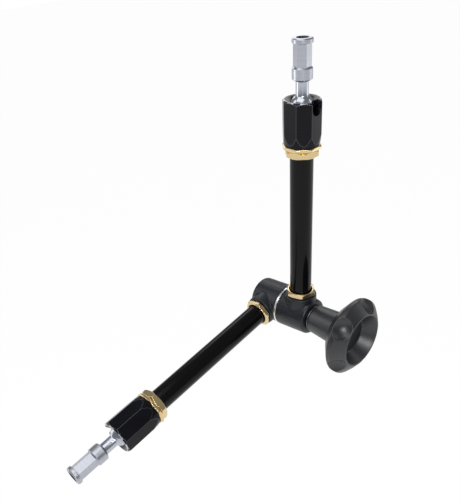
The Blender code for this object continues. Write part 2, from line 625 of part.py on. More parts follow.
def make_metals():
    return {
        "black_tube": make_material("black_tube", (0.010, 0.010, 0.012), 0.16, 0.0),
        "anodised": make_material("anodised", (0.012, 0.012, 0.018), 0.22, 0.4),
        "casting": make_material("casting", (0.022, 0.024, 0.030), 0.55, 0.0),
        "knob": make_material("knob", (0.040, 0.040, 0.045), 0.45, 0.0),
        "cap": make_material("cap", (0.020, 0.020, 0.022), 0.50, 0.0),
        "brass": make_material("brass", (0.72, 0.58, 0.30), 0.24, 1.0),
        "chrome": make_material("chrome", (0.80, 0.81, 0.84), 0.10, 1.0),
        "satin_steel": make_material("satin_steel", (0.70, 0.71, 0.74), 0.28, 1.0),
        "washer": make_material("washer", (0.80, 0.81, 0.83), 0.25, 1.0),
        "steel": make_material("steel", (0.50, 0.51, 0.53), 0.35, 1.0),
        "nylon": make_material("nylon", (0.75, 0.74, 0.70), 0.50, 0.0),
    }


def build():
    clear_scene()
    metals = make_metals()
    lean = ELBOW_ANGLE - math.pi / 2.0
    grip = Vector((-ARM_OFFSET, -math.cos(lean) * GRIP_POINT, -math.sin(lean) * GRIP_POINT))
    elbow = add_empty("elbow_axis", -grip)
    lower_side = add_empty("lower_side", turn=ELBOW_ANGLE, parent=elbow)
    upper_side = add_empty("upper_side", parent=elbow)
    lower = add_empty("lower_arm_frame", (-ARM_OFFSET, 0.0, 0.0), 0.0, lower_side)
    upper = add_empty("upper_arm_frame", (ARM_OFFSET, 0.0, 0.0), 0.0, upper_side)
    lower_ball = add_empty("lower_ball_centre", (0.0, 0.0, BALL_CENTRE), 0.0, lower)
    upper_ball = add_empty("upper_ball_centre", (0.0, 0.0, BALL_CENTRE), 0.0, upper)
    make_arm("lower", -1, lower, lower_ball, metals)
    make_arm("upper", 1, upper, upper_ball, metals)
    make_key("bolt_key", -1, metals["steel"], lower)
    make_key("wedge_key", 1, metals["steel"], upper)
    make_tie_bolt(metals["steel"], lower_side)
    make_wedge_cone(metals["steel"], upper_side)
    make_elbow(elbow, metals)
    bpy.context.view_layer.update()


build()
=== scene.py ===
# %% [markdown]
# The friction arm is already modelled to size in CAD. This file dresses it: it rebuilds
# the pieces that catch the light, gives every piece its finish, and sets up the studio.
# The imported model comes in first, because every new piece sits exactly on its solids.

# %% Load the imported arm
import json
import math

import bmesh
import bpy
from mathutils import Matrix, Vector

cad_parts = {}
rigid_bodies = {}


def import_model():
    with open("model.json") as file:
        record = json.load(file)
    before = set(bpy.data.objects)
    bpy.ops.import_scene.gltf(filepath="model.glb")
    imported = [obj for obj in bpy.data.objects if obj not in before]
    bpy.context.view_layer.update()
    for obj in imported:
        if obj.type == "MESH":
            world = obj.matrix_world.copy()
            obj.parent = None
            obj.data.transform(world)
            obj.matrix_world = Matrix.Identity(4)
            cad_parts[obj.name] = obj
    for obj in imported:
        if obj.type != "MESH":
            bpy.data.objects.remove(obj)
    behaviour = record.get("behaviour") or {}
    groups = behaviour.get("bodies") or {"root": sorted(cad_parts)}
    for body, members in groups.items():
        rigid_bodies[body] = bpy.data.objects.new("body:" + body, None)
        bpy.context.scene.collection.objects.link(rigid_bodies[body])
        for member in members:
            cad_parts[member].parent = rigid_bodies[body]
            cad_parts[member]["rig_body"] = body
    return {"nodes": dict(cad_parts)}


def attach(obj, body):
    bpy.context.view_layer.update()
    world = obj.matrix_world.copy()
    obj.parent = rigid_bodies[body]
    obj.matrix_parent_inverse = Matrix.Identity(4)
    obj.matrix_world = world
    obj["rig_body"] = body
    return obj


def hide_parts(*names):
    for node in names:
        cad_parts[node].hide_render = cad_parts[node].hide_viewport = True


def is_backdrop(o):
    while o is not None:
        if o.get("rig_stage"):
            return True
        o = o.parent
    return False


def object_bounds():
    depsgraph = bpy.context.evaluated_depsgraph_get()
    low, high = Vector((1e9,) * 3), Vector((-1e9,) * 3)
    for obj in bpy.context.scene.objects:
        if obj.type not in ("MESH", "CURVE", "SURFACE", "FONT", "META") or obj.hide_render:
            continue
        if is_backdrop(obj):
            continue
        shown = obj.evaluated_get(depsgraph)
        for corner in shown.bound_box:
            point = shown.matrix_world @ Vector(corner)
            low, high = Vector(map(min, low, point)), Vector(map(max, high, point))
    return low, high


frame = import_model()
cad_low, cad_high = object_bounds()
MM = 0.001
print("CAD box in mm", [round(v / MM, 1) for v in cad_high - cad_low])

# %% [markdown]
# Three directions matter on this arm: the elbow axis, which runs along X, and the two
# tubes. A piece is easiest to draw upright, as a profile beside the Z axis. So each
# direction gets a matrix that carries an upright piece to its place on the arm.

# %% Where the arm's axes lie
ELBOW = Vector((16.2, 225.2748, 39.7220)) * MM
ARM_OFFSET = 16.2 * MM
LOWER_TURN = math.radians(100.0)
UPRIGHT = Vector((0.0, 0.0, 1.0))

ALONG_ELBOW = Matrix.Translation(ELBOW) @ Matrix.Rotation(math.pi / 2.0, 4, "Y")
ALONG_LOWER = (Matrix.Translation(ELBOW - Vector((ARM_OFFSET, 0.0, 0.0)))
               @ Matrix.Rotation(LOWER_TURN, 4, "X"))
ALONG_UPPER = Matrix.Translation(ELBOW + Vector((ARM_OFFSET, 0.0, 0.0)))
ARMS = {"lower": ALONG_LOWER, "upper": ALONG_UPPER}
for side, place in ARMS.items():
    print(side, "tube points along", [round(v, 3) for v in place.to_3x3() @ UPRIGHT])

# %% [markdown]
# The photograph was taken from the knob's side, about 32 degrees above the arm, with the
# camera rolled a little. The position and lens below were found by matching the corners
# and tube edges of the arm. A small vertical shift stands for the photograph's crop.

# %% Camera at the photograph's angle
AZIMUTH, ELEVATION, ROLL = (math.radians(v) for v in (46.61, 32.30, -3.84))
FOCAL_PIXELS, FRAME_HEIGHT_PIXELS, SENSOR_MM = 599.42, 500.0, 36.0
CAMERA_BACK, CAMERA_LEFT, CAMERA_UP = 567.01, 53.98, 25.03
CROP_SHIFT, NEAR_CLIP = 0.05636, 0.01

back = Vector((math.sin(AZIMUTH) * math.cos(ELEVATION),
               -math.cos(AZIMUTH) * math.cos(ELEVATION), math.sin(ELEVATION)))
level_right = Vector((math.cos(AZIMUTH), math.sin(AZIMUTH), 0.0))
level_up = back.cross(level_right)
right = level_right * math.cos(ROLL) + level_up * math.sin(ROLL)
up = level_up * math.cos(ROLL) - level_right * math.sin(ROLL)

camera_data = bpy.data.cameras.new("camera")
camera_data.sensor_fit = "VERTICAL"
camera_data.sensor_height = SENSOR_MM
camera_data.lens = FOCAL_PIXELS / FRAME_HEIGHT_PIXELS * SENSOR_MM
camera_data.shift_y = CROP_SHIFT
camera_data.clip_start = NEAR_CLIP
camera = bpy.data.objects.new("camera", camera_data)
bpy.context.scene.collection.objects.link(camera)
turn = Matrix((right, up, back)).transposed()
camera_place = ELBOW + (back * CAMERA_BACK - right * CAMERA_LEFT + up * CAMERA_UP) * MM
camera.matrix_world = Matrix.Translation(camera_place) @ turn.to_4x4()
bpy.context.scene.camera = camera
bpy.context.scene.view_settings.view_transform = "Standard"
print("camera stands at", [round(v, 3) for v in camera_place])

# %% [markdown]
# Real surfaces are never one flat value. Three effects recur on this arm: the fine grain
# of powder coat and moulded plastic, the rings that a lathe tool leaves, and the soft
# patches that handling leaves in a gloss. Each is built once as a node group, so every
# material can use it with its own numbers.

# %% A helper that starts a node group
def start_group(name, inputs, outputs):
    """An empty shader group with named sockets; returns its tree, input and output."""
    tree = bpy.data.node_groups.new(name, "ShaderNodeTree")
    for socket, kind, value in inputs:
        made = tree.interface.new_socket(name=socket, in_out="INPUT", socket_type=kind)
        if value is not None:
            made.default_value = value
    for socket in outputs:
        tree.interface.new_socket(name=socket, in_out="OUTPUT", socket_type="NodeSocketFloat")
    return tree, tree.nodes.new("NodeGroupInput"), tree.nodes.new("NodeGroupOutput")


def node(tree, kind, **settings):
    """Add a node to a tree and set its properties."""
    made = tree.nodes.new(kind)
    for key, value in settings.items():
        setattr(made, key, value)
    return made


def ramp(tree, source, low, high, out_low, out_high):
    """Map a value from one range to another."""
    made = node(tree, "ShaderNodeMapRange")
    for socket, value in (("From Min", low), ("From Max", high), ("To Min", out_low),
                          ("To Max", out_high)):
        made.inputs[socket].default_value = value
    tree.links.new(source, made.inputs["Value"])
    return made.outputs["Result"]


# %% Fine grain of coatings and moulded plastic
def build_grain():
    tree, start, end = start_group(
        "fine_grain", [("Vector", "NodeSocketVector", None), ("Scale", "NodeSocketFloat", 1800.0)],
        ["Height", "Tone"])
    pebbles = node(tree, "ShaderNodeTexVoronoi")
    clouds = node(tree, "ShaderNodeTexNoise")
    clouds.inputs["Detail"].default_value = 4.0
    clouds.inputs["Roughness"].default_value = 0.65
    for texture in (pebbles, clouds):
        tree.links.new(start.outputs["Vector"], texture.inputs["Vector"])
        tree.links.new(start.outputs["Scale"], texture.inputs["Scale"])
    mixed = node(tree, "ShaderNodeMath", operation="MULTIPLY")
    tree.links.new(pebbles.outputs["Distance"], mixed.inputs[0])
    tree.links.new(clouds.outputs["Fac"], mixed.inputs[1])
    tree.links.new(mixed.outputs[0], end.inputs["Height"])
    tree.links.new(ramp(tree, clouds.outputs["Fac"], 0.35, 0.65, 0.0, 1.0), end.inputs["Tone"])
    return tree


FINE_GRAIN = build_grain()
print("grain group sockets", [s.name for s in FINE_GRAIN.interface.items_tree])


# %% Rings left by turning
def build_turning():
    tree, start, end = start_group(
        "turning_marks", [("Vector", "NodeSocketVector", None), ("Axis", "NodeSocketVector", None),
                          ("Scale", "NodeSocketFloat", 2500.0)], ["Height", "Tone"])
    along = node(tree, "ShaderNodeVectorMath", operation="DOT_PRODUCT")
    tree.links.new(start.outputs["Vector"], along.inputs[0])
    tree.links.new(start.outputs["Axis"], along.inputs[1])
    rings = node(tree, "ShaderNodeTexNoise", noise_dimensions="1D")
    rings.inputs["Detail"].default_value = 3.0
    tree.links.new(along.outputs["Value"], rings.inputs["W"])
    tree.links.new(start.outputs["Scale"], rings.inputs["Scale"])
    tree.links.new(rings.outputs["Fac"], end.inputs["Height"])
    tree.links.new(ramp(tree, rings.outputs["Fac"], 0.3, 0.7, 0.0, 1.0), end.inputs["Tone"])
    return tree


TURNING_MARKS = build_turning()


# %% Soft patches left by hands
def build_handling():
    tree, start, end = start_group(
        "handling", [("Vector", "NodeSocketVector", None), ("Scale", "NodeSocketFloat", 60.0),
                     ("Clean", "NodeSocketFloat", 0.15), ("Dull", "NodeSocketFloat", 0.25)],
        ["Roughness"])
    patches = node(tree, "ShaderNodeTexNoise")
    patches.inputs["Detail"].default_value = 5.0
    patches.inputs["Distortion"].default_value = 0.4
    tree.links.new(start.outputs["Vector"], patches.inputs["Vector"])
    tree.links.new(start.outputs["Scale"], patches.inputs["Scale"])
    spread = node(tree, "ShaderNodeMapRange")
    spread.inputs["From Min"].default_value = 0.35
    spread.inputs["From Max"].default_value = 0.70
    tree.links.new(patches.outputs["Fac"], spread.inputs["Value"])
    tree.links.new(start.outputs["Clean"], spread.inputs["To Min"])
    tree.links.new(start.outputs["Dull"], spread.inputs["To Max"])
    tree.links.new(spread.outputs["Result"], end.inputs["Roughness"])
    return tree


HANDLING = build_handling()


# %% [markdown]
# A finish is then a Principled shader with a base colour that drifts a little, a
# roughness that comes from the handling group, and a shallow bump from the grain or
# the turning rings. Rings follow the axis that the piece was turned on, so the same
# metal gets one material for each direction.

# %% A helper that makes one finish
HANDLING_SCALE = 55.0


def group_node(tree, group, vector, **values):
    """Place a group in a material with its own numbers."""
    made = node(tree, "ShaderNodeGroup", node_tree=group)
    tree.links.new(vector, made.inputs["Vector"])
    for socket, value in values.items():
        made.inputs[socket].default_value = value
    return made


def make_finish(name, light, dark, metallic, roughness, texture, bump, specular=0.5, axis=None):
    """light and dark are the two ends of the base colour, roughness a (clean, dull) pair.

    texture is how fine the grain is, and bump its depth in metres. With an axis the
    piece gets turning rings about it in place of grain.
    """
    material = bpy.data.materials.new(name)
    material.use_nodes = True
    tree = material.node_tree
    shader = tree.nodes["Principled BSDF"]
    shader.inputs["Metallic"].default_value = metallic
    shader.inputs["Specular IOR Level"].default_value = specular
    vector = node(tree, "ShaderNodeTexCoord").outputs["Object"]
    if axis is None:
        detail = group_node(tree, FINE_GRAIN, vector, Scale=texture)
    else:
        detail = group_node(tree, TURNING_MARKS, vector, Scale=texture, Axis=axis)
    blend = node(tree, "ShaderNodeMix", data_type="RGBA")
    blend.inputs["A"].default_value = (*dark, 1.0)
    blend.inputs["B"].default_value = (*light, 1.0)
    tree.links.new(detail.outputs["Tone"], blend.inputs["Factor"])
    tree.links.new(blend.outputs["Result"], shader.inputs["Base Color"])
    clean, dull = roughness
    hands = group_node(tree, HANDLING, vector, Scale=HANDLING_SCALE, Clean=clean, Dull=dull)
    tree.links.new(hands.outputs["Roughness"], shader.inputs["Roughness"])
    height = node(tree, "ShaderNodeBump")
    height.inputs["Strength"].default_value = 1.0
    height.inputs["Distance"].default_value = bump
    tree.links.new(detail.outputs["Height"], height.inputs["Height"])
    tree.links.new(height.outputs["Normal"], shader.inputs["Normal"])
    return material


# %% The arm's finishes
DIRECTIONS = {"elbow": (1.0, 0.0, 0.0), "upper": (0.0, 0.0, 1.0),
              "lower": tuple(ALONG_LOWER.to_3x3() @ UPRIGHT)}
TUBE_BLACK = make_finish("tube_black", (0.005, 0.005, 0.006), (0.003, 0.003, 0.004), 0.0,
                         (0.14, 0.22), 900.0, bump=0.000004, specular=0.20)
HEAD_BLACK = make_finish("head_black", (0.006, 0.006, 0.010), (0.003, 0.003, 0.006), 0.0,
                         (0.18, 0.28), 1600.0, bump=0.000004, specular=0.20)
# A lighter finish for the heads' bevels: a painted highlight along their edges.
HEAD_EDGE_HIGHLIGHT = make_finish("head_edge_painted_highlight", (0.11, 0.12, 0.15), (0.06, 0.07, 0.09), 0.9,
                        (0.24, 0.34), 1600.0, bump=0.000002)
HEAD_RIM = make_finish("head_rim", (0.74, 0.75, 0.79), (0.60, 0.61, 0.65), 1.0,
                       (0.24, 0.34), 1600.0, bump=0.000002)
HUB_COAT = make_finish("hub_coat", (0.013, 0.016, 0.026), (0.006, 0.008, 0.013), 0.0,
                       (0.34, 0.44), 2300.0, bump=0.00005, specular=0.55)
KNOB_PLASTIC = make_finish("knob_plastic", (0.015, 0.016, 0.022), (0.007, 0.008, 0.012), 0.0,
                           (0.35, 0.43), 2600.0, bump=0.000015, specular=1.0)
KNOB_FLOOR_GRAIN = make_finish("knob_floor_grain", (0.034, 0.036, 0.042), (0.004, 0.004, 0.005),
                               0.0, (0.50, 0.62), 1500.0, bump=0.00012, specular=0.30)
# Darker than the other steel: painted shade for the thrust ring in the gap between hub and knob.
THRUST_SHADE_METAL = make_finish("thrust_metal_painted_shade", (0.30, 0.31, 0.34), (0.16, 0.17, 0.19), 1.0,
                           (0.12, 0.20), 3200.0, bump=0.000006, axis=DIRECTIONS["elbow"])
BRIGHT_METAL = make_finish("bright_elbow", (0.92, 0.93, 0.95), (0.84, 0.85, 0.88), 1.0,
                           (0.20, 0.30), 3200.0, bump=0.000004, axis=DIRECTIONS["elbow"])
# A dark metal for the spigot holes and their thread ridges: painted shade inside the holes.
HOLE_SHADE_METAL = make_finish("thread_painted_shade", (0.09, 0.09, 0.10), (0.04, 0.04, 0.05), 1.0,
                           (0.40, 0.52), 2200.0, bump=0.00001)
CAP_PLASTIC = make_finish("cap_plastic", (0.018, 0.018, 0.020), (0.010, 0.010, 0.012), 0.0,
                          (0.40, 0.52), 2600.0, bump=0.00003)
NYLON = make_finish("nylon", (0.75, 0.74, 0.70), (0.68, 0.67, 0.62), 0.0, (0.42, 0.55),
                    1200.0, bump=0.00001)
BRASS, STEEL, CHROME, SATIN = {}, {}, {}, {}
for key, axis in DIRECTIONS.items():
    BRASS[key] = make_finish("brass_" + key, (0.86, 0.69, 0.39), (0.76, 0.59, 0.31), 1.0,
                             (0.16, 0.26), 2600.0, bump=0.000002, axis=axis)
    STEEL[key] = make_finish("steel_" + key, (0.50, 0.51, 0.53), (0.38, 0.39, 0.41), 1.0,
                             (0.28, 0.42), 2200.0, bump=0.00001, axis=axis)
for side in ARMS:
    CHROME[side] = make_finish("chrome_" + side, (0.58, 0.61, 0.68), (0.50, 0.53, 0.60), 1.0,
                               (0.14, 0.22), 1800.0, bump=0.000002, axis=DIRECTIONS[side])
    SATIN[side] = make_finish("satin_" + side, (0.56, 0.58, 0.64), (0.49, 0.51, 0.57), 1.0,
                              (0.28, 0.36), 1200.0, bump=0.000001, axis=DIRECTIONS[side])
print("finishes made:", len(bpy.data.materials))


# %% [markdown]
# Most round pieces here are turned parts. In Blender that is a profile spun about an
# axis, with the full turn merged at its seam. The profile is drawn upright in
# millimetres and then carried to its place, so its object stays at the origin.

# %% Helpers for turned pieces
def keep_piece(bm, name, materials, smooth_angle=32.0):
    """Finish a bmesh as an object at the origin, with smooth sides and crisp corners."""
    mesh = bpy.data.meshes.new(name)
    bm.to_mesh(mesh)
    bm.free()
    mesh.shade_smooth()
    mesh.set_sharp_from_angle(angle=math.radians(smooth_angle))
    for material in materials:
        mesh.materials.append(material)
    piece = bpy.data.objects.new(name, mesh)
    bpy.context.scene.collection.objects.link(piece)
    return piece


def arc(radius_at, along_at, radius, start, end, steps):
    """Profile points on an arc; 0 degrees points away from the axis, 90 along it."""
    angles = [math.radians(start + (end - start) * i / steps) for i in range(steps + 1)]
    return [(radius_at + radius * math.cos(a), along_at + radius * math.sin(a)) for a in angles]


def spun(profile, place, steps=96):
    """Spin (radius, distance) points in millimetres about the upright axis."""
    bm = bmesh.new()
    verts = [bm.verts.new((radius * MM, 0.0, along * MM)) for radius, along in profile]
    for first, second in zip(verts, verts[1:]):
        bm.edges.new((first, second))
    if profile[0][0] > 0.0 or profile[-1][0] > 0.0:
        bm.edges.new((verts[-1], verts[0]))
    bmesh.ops.spin(bm, geom=bm.verts[:] + bm.edges[:], cent=(0, 0, 0), axis=(0, 0, 1),
                   angle=2.0 * math.pi, steps=steps, use_merge=True)
    bmesh.ops.remove_doubles(bm, verts=bm.verts, dist=0.000001)
    bmesh.ops.recalc_face_normals(bm, faces=bm.faces)
    bmesh.ops.transform(bm, matrix=place, verts=bm.verts)
    return bm


def stand_for(piece, node_name):
    """The piece rides where its CAD node rides, and is shown instead of it."""
    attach(piece, frame["nodes"][node_name]["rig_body"])
    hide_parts(node_name)
    return piece


# %% [markdown]
# The tubes are plain drawn tube with a coat of gloss black. Their cut ends carry a
# small turned edge, which a sharp corner would miss.

# %% Tubes
TUBE_LOW, TUBE_HIGH, TUBE_OUTER, TUBE_INNER, TUBE_EDGE = 12.8, 176.0, 9.5, 7.5, 0.3
tube_profile = [(TUBE_INNER, TUBE_LOW), (TUBE_OUTER - TUBE_EDGE, TUBE_LOW),
                (TUBE_OUTER, TUBE_LOW + TUBE_EDGE), (TUBE_OUTER, TUBE_HIGH - TUBE_EDGE),
                (TUBE_OUTER - TUBE_EDGE, TUBE_HIGH), (TUBE_INNER, TUBE_HIGH)]
for side, place in ARMS.items():
    tube = keep_piece(spun(tube_profile, place), side + "_gloss_tube", [TUBE_BLACK])
    stand_for(tube, side + "_tube")
print("tubes are", TUBE_HIGH - TUBE_LOW, "mm long")

# %% [markdown]
# The ball and its neck are one turned and polished piece. A ball shows its facets more
# than anything else on the arm, so it gets a fine arc and many steps round.

# %% Ball stems
BALL_CENTRE, BALL_RADIUS, NECK_RADIUS, NECK_TOP = 191.4, 9.4, 5.0, 210.4
NECK_EDGE, NECK_FLARE, TAIL_RADIUS, TAIL_END = 0.4, 0.6, 4.0, 217.6
neck_angle = math.degrees(math.acos((NECK_RADIUS + NECK_FLARE) / BALL_RADIUS))
stem_profile = arc(0.0, BALL_CENTRE, BALL_RADIUS, -90.0, neck_angle, 36)
stem_profile[0] = (0.0, BALL_CENTRE - BALL_RADIUS)
neck_foot = stem_profile[-1][1]
stem_profile += [(NECK_RADIUS + 0.15, neck_foot + 0.5), (NECK_RADIUS, neck_foot + 1.1),
                 (NECK_RADIUS, NECK_TOP - NECK_EDGE), (NECK_RADIUS - NECK_EDGE, NECK_TOP),
                 (TAIL_RADIUS, NECK_TOP), (TAIL_RADIUS, TAIL_END), (0.0, TAIL_END)]
for side, place in ARMS.items():
    stem = keep_piece(spun(stem_profile, place), side + "_polished_stem", [CHROME[side]])
    stand_for(stem, side + "_ball_stem")
print("ball is", 2 * BALL_RADIUS, "mm across")


# %% [markdown]
# Nuts, heads, caps and spigots keep their CAD outline and need real edges. A copy of
# the solid is merged, its flat faces are joined up again, and every sharp edge gets a
# narrow bevel. The bevel's own faces can take another finish, as on the heads, where
# a lighter finish on the bevels is a painted highlight along the edges.

# %% Limits in degrees and millimetres for finding the edges of a CAD solid
JOIN_ANGLE, SHARP_ANGLE, SMOOTH_ANGLE = 1.0, 28.0, 40.0
BORE_REACH, FLAT_REACH, MERGE_DISTANCE = 10.0, 12.0, 0.02
FLAT_LEAN, TAPER_LEAN_LOW, TAPER_LEAN_HIGH = 0.02, 0.04, 0.4


def runs_out(edge, place):
    """True where one of a head's flats runs out into its tapered foot."""
    axis = place.to_3x3() @ UPRIGHT
    leans = sorted(abs(face.normal.dot(axis)) for face in edge.link_faces)
    middle = place.inverted() @ ((edge.verts[0].co + edge.verts[1].co) / 2.0)
    return (leans[0] < FLAT_LEAN and TAPER_LEAN_LOW < leans[1] < TAPER_LEAN_HIGH
            and math.hypot(middle.x, middle.y) > FLAT_REACH * MM)


def workable(bm, taper_of):
    """The vertices that may change: all, or on a head those outside its bore and socket.

    A head's bore and socket stay as CAD left them, because the ball runs there.
    """
    if taper_of is None:
        return list(bm.verts)
    to_upright = taper_of.inverted()
    return [v for v in bm.verts if (to_upright @ v.co).xy.length > BORE_REACH * MM]


# %% Helper that dresses a CAD solid with bevelled edges
def dressed(node_name, new_name, materials, width, taper_of=None, second=None):
    """Replace a CAD node by a copy whose sharp edges have a bevel of this width.

    taper_of is the place of a head, whose bevels take the second material. second is a
    rule and a place, and tells from a face's radius, distance and lean whether it takes
    the last material.
    """
    bm = bmesh.new()
    bm.from_mesh(frame["nodes"][node_name].data)
    bmesh.ops.remove_doubles(bm, verts=bm.verts, dist=MERGE_DISTANCE * MM)
    outer = workable(bm, taper_of)
    reached = set(outer)
    bmesh.ops.dissolve_limit(bm, angle_limit=math.radians(JOIN_ANGLE), verts=outer,
                             edges=[e for e in bm.edges if reached.issuperset(e.verts)])
    bm.normal_update()
    reached = set(workable(bm, taper_of))
    sharp = [e for e in bm.edges if e.is_manifold and reached.issuperset(e.verts)
             and (e.calc_face_angle() > math.radians(SHARP_ANGLE)
                  or (taper_of and runs_out(e, taper_of)))]
    made = bmesh.ops.bevel(bm, geom=sharp, offset=width * MM, offset_type="OFFSET",
                           segments=2, profile=0.5, affect="EDGES", clamp_overlap=True,
                           material=-1)
    # On a head the bevel faces take the lighter second finish, a painted highlight along the
    # edges.
    if taper_of:
        for face in made["faces"]:
            face.material_index = 1
    if second:
        rule, place = second
        axis = place.to_3x3() @ UPRIGHT
        for face in bm.faces:
            at = (place.inverted() @ face.calc_center_median()) / MM
            if rule(math.hypot(at.x, at.y), at.z, face.normal.dot(axis)):
                face.material_index = len(materials) - 1
    piece = keep_piece(bm, new_name, materials, SMOOTH_ANGLE)
    weighted = piece.modifiers.new("Weighted_normals", "WEIGHTED_NORMAL")
    weighted.keep_sharp = True
    return stand_for(piece, node_name)


# %% Which faces are bare metal on a head, and which in a spigot's hole take painted shade
HEAD_TOP_START, HEAD_TOP_RADIUS, HOLE_START, HOLE_REACH = 196.4, 12.4, 226.0, 4.95


def on_head_top(radius, along, lean):
    """The narrow slope round the mouth of a head."""
    return lean > 0.3 and along > HEAD_TOP_START and radius > HEAD_TOP_RADIUS


def gets_hole_shade(radius, along, lean):
    """The wall, the floor and the edge of a spigot's hole, but not its end face; these take the
    dark painted shade.
    """
    return radius < HOLE_REACH and along > HOLE_START and lean < 0.95


# %% Nuts, collars, heads and spigots
for side in ARMS:
    dressed(side + "_base_nut", side + "_brass_base_nut", [BRASS[side]], 0.25)
    dressed(side + "_head_lock_nut", side + "_brass_lock_nut", [BRASS[side]], 0.25)
    dressed(side + "_head_collar", side + "_brass_collar", [BRASS[side]], 0.25)
    dressed(side + "_head", side + "_gloss_head", [HEAD_BLACK, HEAD_EDGE_HIGHLIGHT, HEAD_RIM],
            0.20, taper_of=ARMS[side], second=(on_head_top, ARMS[side]))
    # The faces in the spigot's hole take the dark finish, painted shade inside the hole.
    dressed(side + "_spigot", side + "_satin_spigot", [SATIN[side], HOLE_SHADE_METAL],
            0.20, second=(gets_hole_shade, ARMS[side]))
# The thrust ring's dark steel colour is painted shade for the gap it sits in.
dressed("thrust_washer", "thrust_ring_painted_shade", [THRUST_SHADE_METAL], 0.12)
dressed("hub_end_cap", "moulded_end_cap", [CAP_PLASTIC], 0.20)

# %% [markdown]
# Between the hubs lies the washer that gives the elbow its friction, and only its bright
# edge shows. It is a plain ring, so it is spun, a little thicker and wider than in CAD,
# so that it still shows as a bright line at the photograph's size.

# %% The bright friction ring between the hubs
RING_BORE, RING_RADIUS, RING_HALF, RING_EDGE = 5.3, 18.75, 1.0, 0.2
ring_profile = [(RING_BORE, -RING_HALF), (RING_RADIUS - RING_EDGE, -RING_HALF),
                (RING_RADIUS, RING_EDGE - RING_HALF), (RING_RADIUS, RING_HALF - RING_EDGE),
                (RING_RADIUS - RING_EDGE, RING_HALF), (RING_BORE, RING_HALF)]
friction_ring = keep_piece(spun(ring_profile, ALONG_ELBOW, 128), "bright_friction_ring",
                           [BRIGHT_METAL])
stand_for(friction_ring, "friction_washer")
print("friction ring is", 2.0 * RING_RADIUS, "mm across")

# %% [markdown]
# The hole in each spigot is tapped. A sawtooth profile spun round the hole shows the thread's
# ridges, and sits on the wall that CAD left plain. Its dark finish is painted shade inside the
# hole.

# %% Thread ridges in the spigot holes
HOLE_RADIUS, HOLE_FLOOR, HOLE_MOUTH, PITCH = 4.05, 226.7, 239.9, 1.27
END_GAP, ROOT, CREST_IN, BACK = 0.2, 0.02, 0.50, 0.1
count = int((HOLE_MOUTH - HOLE_FLOOR - 2.0 * END_GAP) / PITCH)
ridges = [(HOLE_RADIUS + BACK, HOLE_FLOOR + END_GAP)]
for i in range(count):
    low = HOLE_FLOOR + END_GAP + i * PITCH
    ridges += [(HOLE_RADIUS - ROOT, low + ROOT), (HOLE_RADIUS - CREST_IN, low + PITCH / 2.0)]
ridges += [(HOLE_RADIUS - ROOT, low + PITCH), (HOLE_RADIUS + BACK, low + PITCH)]
for side, place in ARMS.items():
    thread = keep_piece(spun(ridges, place, 48), side + "_thread_ridges", [HOLE_SHADE_METAL])
    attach(thread, frame["nodes"][side + "_spigot"]["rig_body"])
print("ridges in each hole:", count)


# %% [markdown]
# The hubs are castings and the knob is a moulding, so none of their edges is truly
# sharp. A voxel remesh turns the whole form into one even skin, and a few passes of
# smoothing round every edge and inner corner alike, the way a mould does.

# %% Helper that softens a form like a casting
VOXEL = 0.0004


def softened(source, name, passes):
    """Bake an even skin with round edges into a new piece, and drop the source."""
    remesh = source.modifiers.new("Even_skin", "REMESH")
    remesh.mode = "VOXEL"
    remesh.voxel_size = VOXEL
    remesh.use_smooth_shade = True
    smooth = source.modifiers.new("Soft_edges", "SMOOTH")
    smooth.factor = 0.5
    smooth.iterations = passes
    graph = bpy.context.evaluated_depsgraph_get()
    mesh = bpy.data.meshes.new_from_object(source.evaluated_get(graph))
    mesh.name = name
    mesh.materials.clear()
    piece = bpy.data.objects.new(name, mesh)
    bpy.context.scene.collection.objects.link(piece)
    bpy.data.objects.remove(source)
    print(name, "has", len(mesh.polygons), "faces")
    return piece


# %% Hub castings
for side in ARMS:
    bm = bmesh.new()
    bm.from_mesh(frame["nodes"][side + "_hub"].data)
    bmesh.ops.remove_doubles(bm, verts=bm.verts, dist=0.00001)
    hub = softened(keep_piece(bm, "hub_form", []), side + "_cast_hub", passes=10)
    hub.data.materials.append(HUB_COAT)
    stand_for(hub, side + "_hub")

# %% [markdown]
# The knob is a turned form with five finger scoops in its front. In the photograph each
# scoop starts at the crest of the dish and leaves the rim's back edge almost whole, so
# it is a round dent. The cutter is five balls, set so that each meets both places.

# %% Knob profile, in millimetres along the elbow axis
KNOB_START, NECK_END, CORE_BACK, RIM_BACK, RIM_FRONT = 33.5, 59.5, 62.7, 71.0, 75.7
CREST, KNOB_FLOOR, RIM_RADIUS, CORE_RADIUS = 84.2, 72.4, 34.7, 24.3
CREST_RADIUS, FLOOR_RADIUS, RIM_ROUND, BORE, BORE_END = 23.8, 16.5, 2.0, 9.3, 65.0
FRONT_SWELL = (29.6, 80.2)
FRONT_SLOPE = math.atan2(RIM_RADIUS - CREST_RADIUS, CREST - RIM_FRONT)
BACK_SLOPE = math.atan2(RIM_RADIUS - CORE_RADIUS, RIM_BACK - CORE_BACK)

knob_profile = [(0.0, KNOB_FLOOR), (FLOOR_RADIUS, KNOB_FLOOR), (CREST_RADIUS - 0.7, CREST - 0.4),
                (CREST_RADIUS, CREST), (CREST_RADIUS + 0.7, CREST - 0.3), FRONT_SWELL]
knob_profile += arc(RIM_RADIUS - RIM_ROUND, RIM_FRONT - RIM_ROUND * math.tan(FRONT_SLOPE / 2.0),
                    RIM_ROUND, math.degrees(FRONT_SLOPE), 0.0, 8)
knob_profile += arc(RIM_RADIUS - RIM_ROUND, RIM_BACK + RIM_ROUND * math.tan(BACK_SLOPE / 2.0),
                    RIM_ROUND, 0.0, -math.degrees(BACK_SLOPE), 8)
knob_profile += [(CORE_RADIUS, CORE_BACK), (15.7, NECK_END + 0.5), (15.0, NECK_END - 0.7),
                 (12.9, KNOB_START + 0.7), (12.2, KNOB_START), (BORE, KNOB_START),
                 (BORE, BORE_END), (0.0, BORE_END)]
knob_form = keep_piece(spun(knob_profile, ALONG_ELBOW, 180), "knob_form", [])

